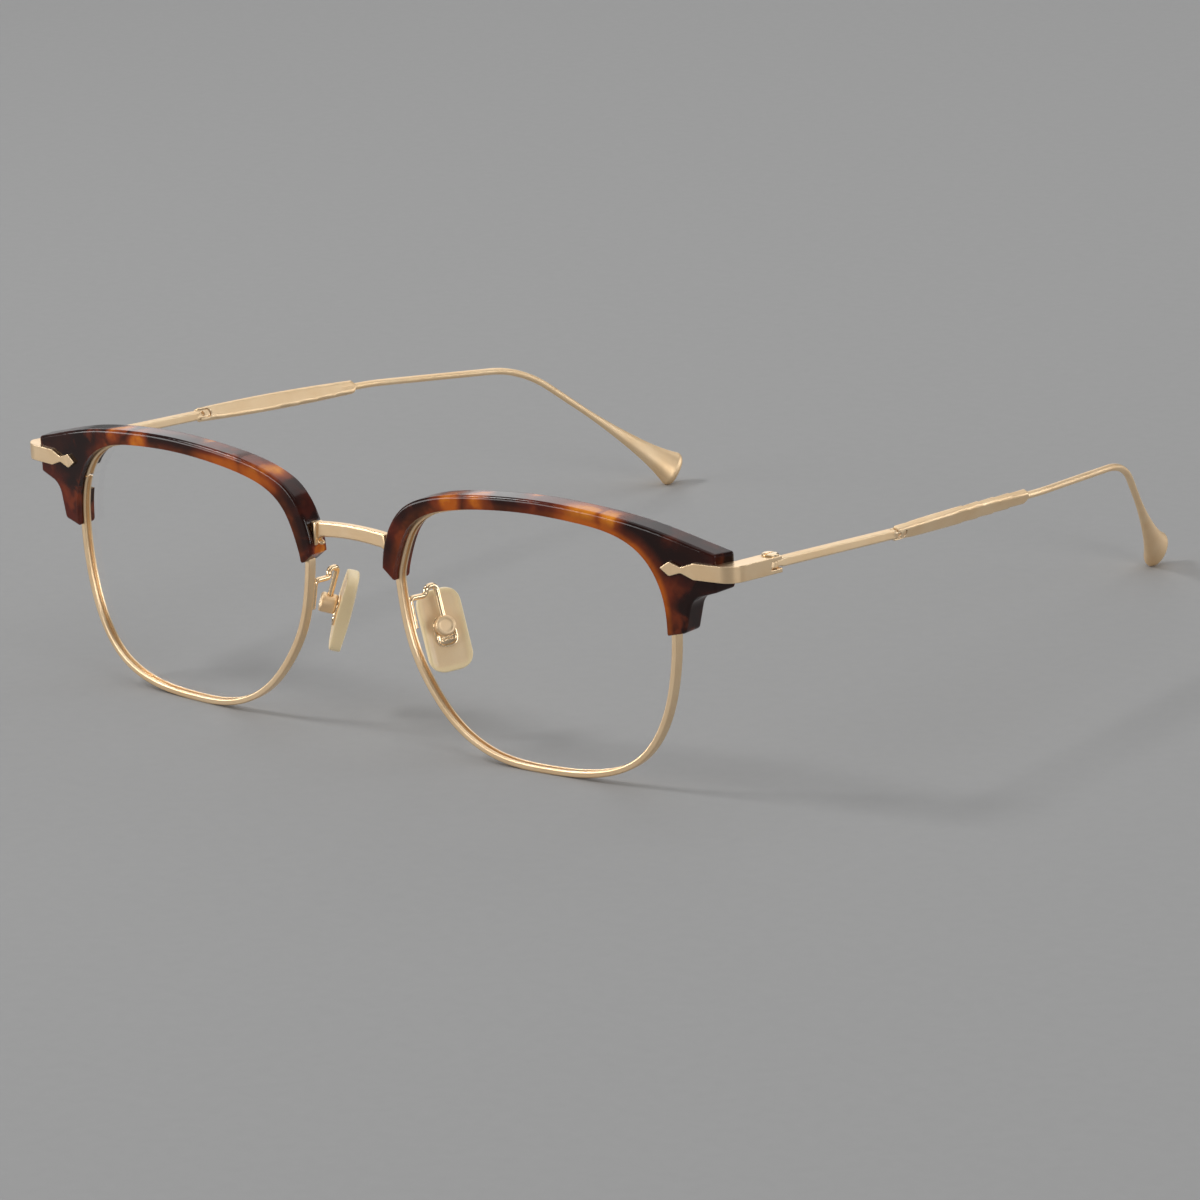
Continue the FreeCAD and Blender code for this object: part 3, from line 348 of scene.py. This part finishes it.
def tortoiseMaterial(name, clouds, middle):
    material, tree, shader = newMaterial(name)
    place = addNode(tree, "ShaderNodeTexCoord").outputs["Object"]
    inMm = addNode(tree, "ShaderNodeMapping", {"Scale": (1 / mm, 1 / mm, 1 / mm)})
    tree.links.new(place, inMm.inputs["Vector"])
    swayed = swayedPlace(tree, inMm.outputs["Vector"])
    blotch = addNoise(tree, swayed, tortoise["blotch"], tortoise["patchDetail"]).outputs["Fac"]
    fleck = addNoise(tree, swayed, tortoise["fleck"], tortoise["patchDetail"]).outputs["Fac"]
    edge = placeGroup(tree, edgeGroup, Vector=place, Radius=tortoise["edgeRadius"],
                      Breakup=tortoise["edgeBreakup"])

    mahogany = mapRange(tree, blotch, *tortoise["mahoganyRange"], smooth=True)
    field = mixColour(tree, mahogany, tortoise["smoke"], tortoise["mahogany"])
    russet = mapRange(tree, fleck, *tortoise["russetRange"], smooth=True)
    field = mixColour(tree, russet, field, tortoise["russet"])

    amberMask = cloudMask(tree, swayed, clouds["amber"])
    cloudHalo = mapRange(tree, amberMask, *tortoise["haloRange"], smooth=True)
    field = mixColour(tree, cloudHalo, field, tortoise["russet"])
    amber = mapRange(tree, amberMask, *tortoise["amberRange"], smooth=True)
    field = mixColour(tree, amber, field, tortoise["amber"])
    heart = mapRange(tree, amberMask, *tortoise["heartRange"], smooth=True)
    honey = mathNode(tree, "MULTIPLY", heart, mapRange(tree, fleck, *tortoise["honeyRange"]))
    field = mixColour(tree, honey, field, tortoise["honey"])

    smokeMask = cloudMask(tree, swayed, clouds["smoke"])
    smoke = mathNode(tree, "MULTIPLY", smokeMask, tortoise["smokeShare"])
    field = mixColour(tree, smoke, field, tortoise["smoke"])

    glow, glowHalo = paintedGlowMask(tree, inMm.outputs["Vector"], middle, clouds)
    patchy = mapRange(tree, fleck, *tortoise["glowRange"])
    # Russet halo and amber band along the lens edge: a painted glow of light coming through the thin acetate.
    field = mixColour(tree, mathNode(tree, "MULTIPLY", glowHalo, patchy), field, tortoise["russet"])
    field = mixColour(tree, mathNode(tree, "MULTIPLY", glow, patchy), field, tortoise["amber"])
    # Russet along every turning edge: a painted glow where thin edges let light through.
    thin = mathNode(tree, "MULTIPLY", edge.outputs["Edge"], tortoise["edgeShare"])
    field = mixColour(tree, thin, field, tortoise["russet"])  # thin edges let some light through
    tree.links.new(field, shader.inputs["Base Color"])

    tree.links.new(mapRange(tree, fleck, *tortoise["roughRange"]), shader.inputs["Roughness"])
    addBump(tree, shader, fleck, tortoise["bumpStrength"], tortoise["bumpDepth"])
    shader.inputs["IOR"].default_value = tortoise["ior"]
    shader.inputs["Specular IOR Level"].default_value = tortoise["specular"]
    return material


# Clear lens: a thin sheet that mirrors a little, more at a slant, with the faintest film of dust.
lensSheet = {
    "mirror": (0.97, 0.985, 0.98), "film": 55.0, "filmDetail": 5.0, "filmRoughness": 0.6,
    "roughRange": (0.45, 0.75, 0.01, 0.06), "slantIor": 1.35, "mirrorRange": (0.02, 0.6, 0.005, 0.03),
}


def lensMaterial():
    material, tree, shader = newMaterial("clearLens")
    place = addNode(tree, "ShaderNodeTexCoord").outputs["Object"]
    film = addNoise(tree, place, lensSheet["film"], lensSheet["filmDetail"], lensSheet["filmRoughness"])
    rough = mapRange(tree, film.outputs["Fac"], *lensSheet["roughRange"])
    tree.links.new(rough, shader.inputs["Roughness"])
    slant = addNode(tree, "ShaderNodeFresnel", {"IOR": lensSheet["slantIor"]})
    share = mapRange(tree, slant.outputs["Fac"], *lensSheet["mirrorRange"])
    tree.links.new(share, shader.inputs["Alpha"])
    shader.inputs["Base Color"].default_value = lensSheet["mirror"] + (1.0,)
    shader.inputs["Metallic"].default_value = 1.0
    return material


# Moulded silicone: milky tan, paler along the thick rim, where a painted glow stands for the light it gathers.
padSilicone = {
    "tan": (0.90, 0.67, 0.41), "sand": (0.95, 0.74, 0.47), "cream": (1.0, 0.80, 0.49),
    "cloud": 160.0, "cloudDetail": 2.0, "cloudRange": (0.35, 0.65, 0.0, 1.0),
    "grain": 5200.0, "grainDetail": 1.0, "roughRange": (0.3, 0.7, 0.26, 0.34),
    "bumpStrength": 0.05, "bumpDepth": 0.00002,
    "ior": 1.41, "subsurface": 0.15, "subsurfaceRadius": 0.0005,
}


def padMaterial():
    material, tree, shader = newMaterial("padSilicone")
    place = addNode(tree, "ShaderNodeTexCoord").outputs["Object"]
    cloud = addNoise(tree, place, padSilicone["cloud"], padSilicone["cloudDetail"])
    grain = addNoise(tree, place, padSilicone["grain"], padSilicone["grainDetail"])
    border = addNode(tree, "ShaderNodeAttribute", attribute_name="border").outputs["Fac"]
    milky = mapRange(tree, cloud.outputs["Fac"], *padSilicone["cloudRange"])
    inner = mixColour(tree, milky, padSilicone["tan"], padSilicone["sand"])
    # The paler rim colour is a painted glow of light gathered in the thick silicone.
    tree.links.new(mixColour(tree, border, inner, padSilicone["cream"]), shader.inputs["Base Color"])
    rough = mapRange(tree, grain.outputs["Fac"], *padSilicone["roughRange"])
    tree.links.new(rough, shader.inputs["Roughness"])
    addBump(tree, shader, grain.outputs["Fac"], padSilicone["bumpStrength"], padSilicone["bumpDepth"])
    shader.inputs["IOR"].default_value = padSilicone["ior"]
    shader.inputs["Subsurface Weight"].default_value = padSilicone["subsurface"]
    shader.inputs["Subsurface Radius"].default_value = (padSilicone["subsurfaceRadius"],) * 3
    return material


finishes = {
    "front": goldMaterial("satinGoldFront", satinGold, "along"),
    "wrap": goldMaterial("satinGoldWrap", satinGold, "upright"),
    "temple": goldMaterial("mattGoldTemple", mattGold, "back"),
    "rim": goldMaterial("satinGoldRim", satinGold, "blasted"),
    "bright": goldMaterial("polishedGold", polishedGold, "blasted"),
    "lens": lensMaterial(),
    "pad": padMaterial(),
}
wornBy = {
    "bridge": "front", "rim": "rim", "rim_screw": "bright", "strap_rivets": "bright", "end_piece": "wrap",
    "hinge_screw": "bright", "temple_stick": "temple", "temple_sleeve": "temple", "temple_wire": "temple",
    "pad_arm": "bright", "pad_can": "temple", "pad_plate": "bright", "lens": "lens", "nose_pad": "pad",
}


def dress(node, material):
    for slot in node.material_slots:
        slot.material = material


for name, node in cadNodes.items():
    if name in browClouds:
        middle = lensEdge["middle"] if name == "brow_right" else -lensEdge["middle"]
        dress(node, tortoiseMaterial(name.replace("brow_", "tortoise_"), browClouds[name], middle))
    else:
        dress(node, finishes[wornBy[name.replace("_left", "").replace("_right", "")]])
print("materials placed")


def roundEdges(mesh, edges, offset, segments):
    bmesh.ops.bevel(mesh, geom=edges, offset=offset, offset_type="OFFSET", segments=segments,
                    profile=0.5, affect="EDGES", material=-1)


def makePiece(mesh, name, material):
    bmesh.ops.recalc_face_normals(mesh, faces=mesh.faces)
    data = bpy.data.meshes.new(name)
    mesh.to_mesh(data)
    mesh.free()
    data.shade_smooth()
    data.materials.append(material)
    piece = bpy.data.objects.new(name, data)
    bpy.context.scene.collection.objects.link(piece)
    return piece


# Nose pads: a soft bowed pad, thickest at its middle, moulded round the edge of its metal plate.
# Lengths in mm from the middle of the can, with x towards the can; turns in degrees.
nosePad = {
    "width": 7.0, "height": 12.9, "corner": 2.5, "below": 0.65, "turn": (8.7, -17.0, -42.0),
    "across": 20, "along": 36, "smoothing": 2,
    "borderFull": 0.50, "borderEnd": 1.25, "hollow": 0.22,
    "front": -1.42, "frontBowUp": 0.36, "frontBowAcross": 0.12,
    "back": -3.95, "backBowUp": 0.30, "backBowAcross": 0.40,
}
padPlate = {
    "width": 3.4, "height": 4.8, "corner": 1.36, "cornerSteps": 8,
    "thickness": 0.40, "below": 0.9, "back": -1.70,
    "lip": 0.32, "floor": 0.16, "floorSlope": 0.08, "edge": 0.05, "edgeSteps": 2, "crispAngle": 0.7,
    "dot": 0.15, "dotHeight": 0.7, "dotGap": 0.42, "dotRows": 2, "dotColumns": 5, "dotStart": -2.15,
}


def padFrame():
    low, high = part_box("pad_can_right")
    middle = (Vector(low) + Vector(high)) / 2
    turnX, turnY, turnZ = (math.radians(angle) for angle in nosePad["turn"])
    turned = Matrix.Rotation(turnZ, 4, "Z") @ Matrix.Rotation(turnY, 4, "Y")
    turned = turned @ Matrix.Rotation(turnX, 4, "X")
    return Matrix.Translation(middle) @ turned @ Matrix.Scale(mm, 4)


def finishOnPad(mesh, name, side, material, node, levels):
    bmesh.ops.transform(mesh, matrix=padFrame(), verts=mesh.verts)
    if side == "left":
        bmesh.ops.scale(mesh, vec=(-1.0, 1.0, 1.0), verts=mesh.verts)
    piece = makePiece(mesh, name, material)
    if levels:
        smooth = piece.modifiers.new("smooth", "SUBSURF")
        smooth.levels = levels
        smooth.render_levels = levels
    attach(piece, "pad_" + side)
    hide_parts(node)


# Pulls the corner squares of a grid in onto round corners.
def roundCorners(verts, halfWidth, halfHeight, corner):
    for v in verts:
        u = (abs(v.co.y) - halfWidth + corner) / corner
        w = (abs(v.co.z) - halfHeight + corner) / corner
        if u > 0.0 and w > 0.0:
            v.co.y = math.copysign(halfWidth - corner + corner * u * math.sqrt(1.0 - w * w / 2.0), v.co.y)
            v.co.z = math.copysign(halfHeight - corner + corner * w * math.sqrt(1.0 - u * u / 2.0), v.co.z)


def uprightGrid(mesh, width, height, across, along):
    stood = Matrix.Rotation(math.radians(90.0), 4, "Z") @ Matrix.Rotation(math.radians(90.0), 4, "X")
    sized = stood @ Matrix.Diagonal((width / 2, height / 2, 1.0, 1.0))
    bmesh.ops.create_grid(mesh, x_segments=across, y_segments=along, size=1.0, matrix=sized)


def makePad(side):
    mesh = bmesh.new()
    halfWidth, halfHeight = nosePad["width"] / 2, nosePad["height"] / 2
    uprightGrid(mesh, nosePad["width"], nosePad["height"], nosePad["across"], nosePad["along"])
    border = mesh.verts.layers.float.new("border")
    fade = nosePad["borderEnd"] - nosePad["borderFull"]
    for v in mesh.verts:
        margin = min(halfWidth - abs(v.co.y), halfHeight - abs(v.co.z))
        share = min(max((nosePad["borderEnd"] - margin) / fade, 0.0), 1.0)
        v[border] = share * share * (3.0 - 2.0 * share)  # eased from the rim inwards
    roundCorners(mesh.verts, halfWidth, halfHeight, nosePad["corner"])
    backVerts = list(mesh.verts)
    grown = bmesh.ops.extrude_face_region(mesh, geom=mesh.faces[:])["geom"]
    frontVerts = [item for item in grown if isinstance(item, bmesh.types.BMVert)]
    for verts, face, sign in ((frontVerts, "front", -1.0), (backVerts, "back", 1.0)):
        for v in verts:
            up, across = v.co.z / halfHeight, v.co.y / halfWidth
            v.co.x = nosePad[face] + sign * (nosePad[face + "BowUp"] * up * up
                                             + nosePad[face + "BowAcross"] * across * across)
    for v in frontVerts:
        v.co.x -= nosePad["hollow"] * (1.0 - v[border])
    bmesh.ops.translate(mesh, verts=mesh.verts, vec=(0.0, 0.0, -nosePad["below"]))
    finishOnPad(mesh, "silicone_pad_" + side, side, finishes["pad"],
                "nose_pad_" + side, nosePad["smoothing"])


# The plate has a raised lip and rows of small dots that key it into the silicone.
def makePlate(side):
    mesh = bmesh.new()
    thickness = padPlate["thickness"]
    bmesh.ops.create_cube(mesh, size=1.0)
    bmesh.ops.scale(mesh, vec=(thickness, padPlate["width"], padPlate["height"]), verts=mesh.verts)
    through = [e for e in mesh.edges if abs(e.verts[0].co.x - e.verts[1].co.x) > thickness / 2]
    roundEdges(mesh, through, padPlate["corner"], padPlate["cornerSteps"])
    front = [f for f in mesh.faces if f.normal.x > 0.9]
    bmesh.ops.inset_region(mesh, faces=front, thickness=padPlate["lip"], use_even_offset=True)
    bmesh.ops.inset_region(mesh, faces=front, thickness=padPlate["floorSlope"], depth=-padPlate["floor"],
                           use_even_offset=True)
    crisp = [e for e in mesh.edges
             if len(e.link_faces) == 2 and e.calc_face_angle() > padPlate["crispAngle"]]
    roundEdges(mesh, crisp, padPlate["edge"], padPlate["edgeSteps"])
    floorX = thickness / 2 - padPlate["floor"]
    flattened = Matrix.Diagonal((padPlate["dotHeight"], 1.0, 1.0, 1.0))
    for row in range(padPlate["dotRows"]):
        for column in range(padPlate["dotColumns"]):
            y = (column - (padPlate["dotColumns"] - 1) / 2) * padPlate["dotGap"]
            z = padPlate["dotStart"] + row * padPlate["dotGap"] + padPlate["below"]
            place = Matrix.Translation((floorX, y, z)) @ flattened
            bmesh.ops.create_icosphere(mesh, subdivisions=2, radius=padPlate["dot"], matrix=place)
    seated = (padPlate["back"] + thickness / 2, 0.0, -padPlate["below"])
    bmesh.ops.translate(mesh, verts=mesh.verts, vec=seated)
    finishOnPad(mesh, "plate_" + side, side, finishes["bright"], "pad_plate_" + side, 0)


for side in ("right", "left"):
    makePad(side)
    makePlate(side)
print("nose pads and plates made")


# Small soldered seats where the bridge meets the brows, proud of the acetate. Lengths in mm, angles in degrees.
bridgeSeat = {
    "middle": (7.12, -70.55, 31.55), "size": (0.55, 1.75, 3.7), "lean": -6.0, "edge": 0.14, "edgeSteps": 3,
    "solder": (6.75, -70.4, 30.1), "solderSize": (0.75, 0.55, 0.42), "sharpAngle": 40.0,
}


def makeSeat(side):
    mesh = bmesh.new()
    bmesh.ops.create_cube(mesh, size=1.0)
    bmesh.ops.scale(mesh, vec=bridgeSeat["size"], verts=mesh.verts)
    roundEdges(mesh, mesh.edges[:], bridgeSeat["edge"], bridgeSeat["edgeSteps"])
    lean = Matrix.Rotation(math.radians(bridgeSeat["lean"]), 4, "Y")
    bmesh.ops.transform(mesh, matrix=Matrix.Translation(bridgeSeat["middle"]) @ lean, verts=mesh.verts)
    bead = Matrix.Translation(bridgeSeat["solder"]) @ Matrix.Diagonal(bridgeSeat["solderSize"] + (1.0,))
    bmesh.ops.create_icosphere(mesh, subdivisions=4, radius=1.0, matrix=bead)
    bmesh.ops.scale(mesh, vec=(mm if side == "right" else -mm, mm, mm), verts=mesh.verts)
    seat = makePiece(mesh, "bridge_seat_" + side, finishes["front"])
    seat.data.set_sharp_from_angle(angle=math.radians(bridgeSeat["sharpAngle"]))
    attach(seat, "front")


for side in ("right", "left"):
    makeSeat(side)
print("bridge seats made")


# Floor, lamps and camera.
floorLook = {
    "size": 6.0, "tone": 0.38, "speckle": 420.0, "speckleDetail": 4.0, "speckleShare": 0.03,
    "rough": 0.9, "specular": 0.1,
}


def makeFloor():
    mesh = bmesh.new()
    bmesh.ops.create_grid(mesh, x_segments=1, y_segments=1, size=floorLook["size"] / 2)
    data = bpy.data.meshes.new("floor")
    mesh.to_mesh(data)
    mesh.free()
    floor = bpy.data.objects.new("floor", data)
    floor.location.z = cadBox[0][2]
    bpy.context.scene.collection.objects.link(floor)
    material, tree, shader = newMaterial("palePaper")
    place = addNode(tree, "ShaderNodeTexCoord").outputs["Object"]
    speckle = addNoise(tree, place, floorLook["speckle"], floorLook["speckleDetail"])
    darker = (floorLook["tone"] * (1 - floorLook["speckleShare"]),) * 3
    paler = (floorLook["tone"] * (1 + floorLook["speckleShare"]),) * 3
    tree.links.new(mixColour(tree, speckle.outputs["Fac"], darker, paler), shader.inputs["Base Color"])
    shader.inputs["Roughness"].default_value = floorLook["rough"]
    shader.inputs["Specular IOR Level"].default_value = floorLook["specular"]
    data.materials.append(material)


lamps = {
    # place, aimed at and size in metres, power in watts
    "overhead": ((0.10, 0.05, 1.10), (0.0, 0.0, 0.02), (1.4, 1.1), 4.3),
    "key": ((-0.75, -0.42, 0.92), (0.0, -0.05, 0.02), (0.30, 0.22), 4.0),
    "frontLeft": ((-0.80, -1.00, 0.20), (0.0, -0.06, 0.03), (1.2, 0.36), 7.5),
    "back": ((-0.95, 1.05, 0.45), (0.0, 0.0, 0.03), (0.9, 0.5), 1.7),
    "topBack": ((-0.15, 0.85, 0.80), (0.0, 0.0, 0.03), (1.2, 0.5), 1.8),
    "right": ((1.25, -0.35, 0.28), (0.0, -0.05, 0.02), (0.45, 0.46), 4.4),
    "backRight": ((0.90, 1.10, 0.20), (0.0, 0.0, 0.03), (1.0, 0.36), 4.0),
}
studioTone = 0.20


def makeLamps():
    for name, (place, aim, size, power) in lamps.items():
        lamp = bpy.data.lights.new(name, "AREA")
        lamp.shape = "RECTANGLE"
        lamp.size, lamp.size_y = size
        lamp.energy = power
        item = bpy.data.objects.new(name, lamp)
        item.location = place
        item.rotation_euler = (Vector(aim) - Vector(place)).to_track_quat("-Z", "Y").to_euler()
        bpy.context.scene.collection.objects.link(item)
    world = bpy.data.worlds.new("studio")
    bpy.context.scene.world = world
    world.use_nodes = True
    backdrop = world.node_tree.nodes["Background"]
    backdrop.inputs["Color"].default_value = (studioTone, studioTone, studioTone, 1.0)
    backdrop.inputs["Strength"].default_value = 1.0


# Angles in degrees; the lens and the sensor in mm.
viewpoint = {
    "place": (0.59289, -0.72242, 0.27623), "azimuth": 39.869, "elevation": 16.222, "roll": -2.639,
    "lens": 180.0, "sensor": 36.0, "nearest": 0.01,
}


def makeCamera():
    data = bpy.data.cameras.new("photoCamera")
    data.lens = viewpoint["lens"]
    data.sensor_width = viewpoint["sensor"]
    data.clip_start = viewpoint["nearest"]
    camera = bpy.data.objects.new("photoCamera", data)
    azimuth, elevation, roll = (math.radians(viewpoint[k]) for k in ("azimuth", "elevation", "roll"))
    flat = math.cos(elevation)
    back = Vector((math.sin(azimuth) * flat, -math.cos(azimuth) * flat, math.sin(elevation)))
    level = Vector((math.cos(azimuth), math.sin(azimuth), 0.0))
    above = back.cross(level)
    across = math.cos(roll) * level + math.sin(roll) * above
    up = -math.sin(roll) * level + math.cos(roll) * above
    turned = Matrix((across, up, back)).transposed().to_4x4()
    camera.matrix_world = Matrix.Translation(viewpoint["place"]) @ turned
    bpy.context.scene.collection.objects.link(camera)
    bpy.context.scene.camera = camera


makeFloor()
makeLamps()
makeCamera()
bpy.context.scene.view_settings.view_transform = "Standard"
print("stage, lamps and camera set")
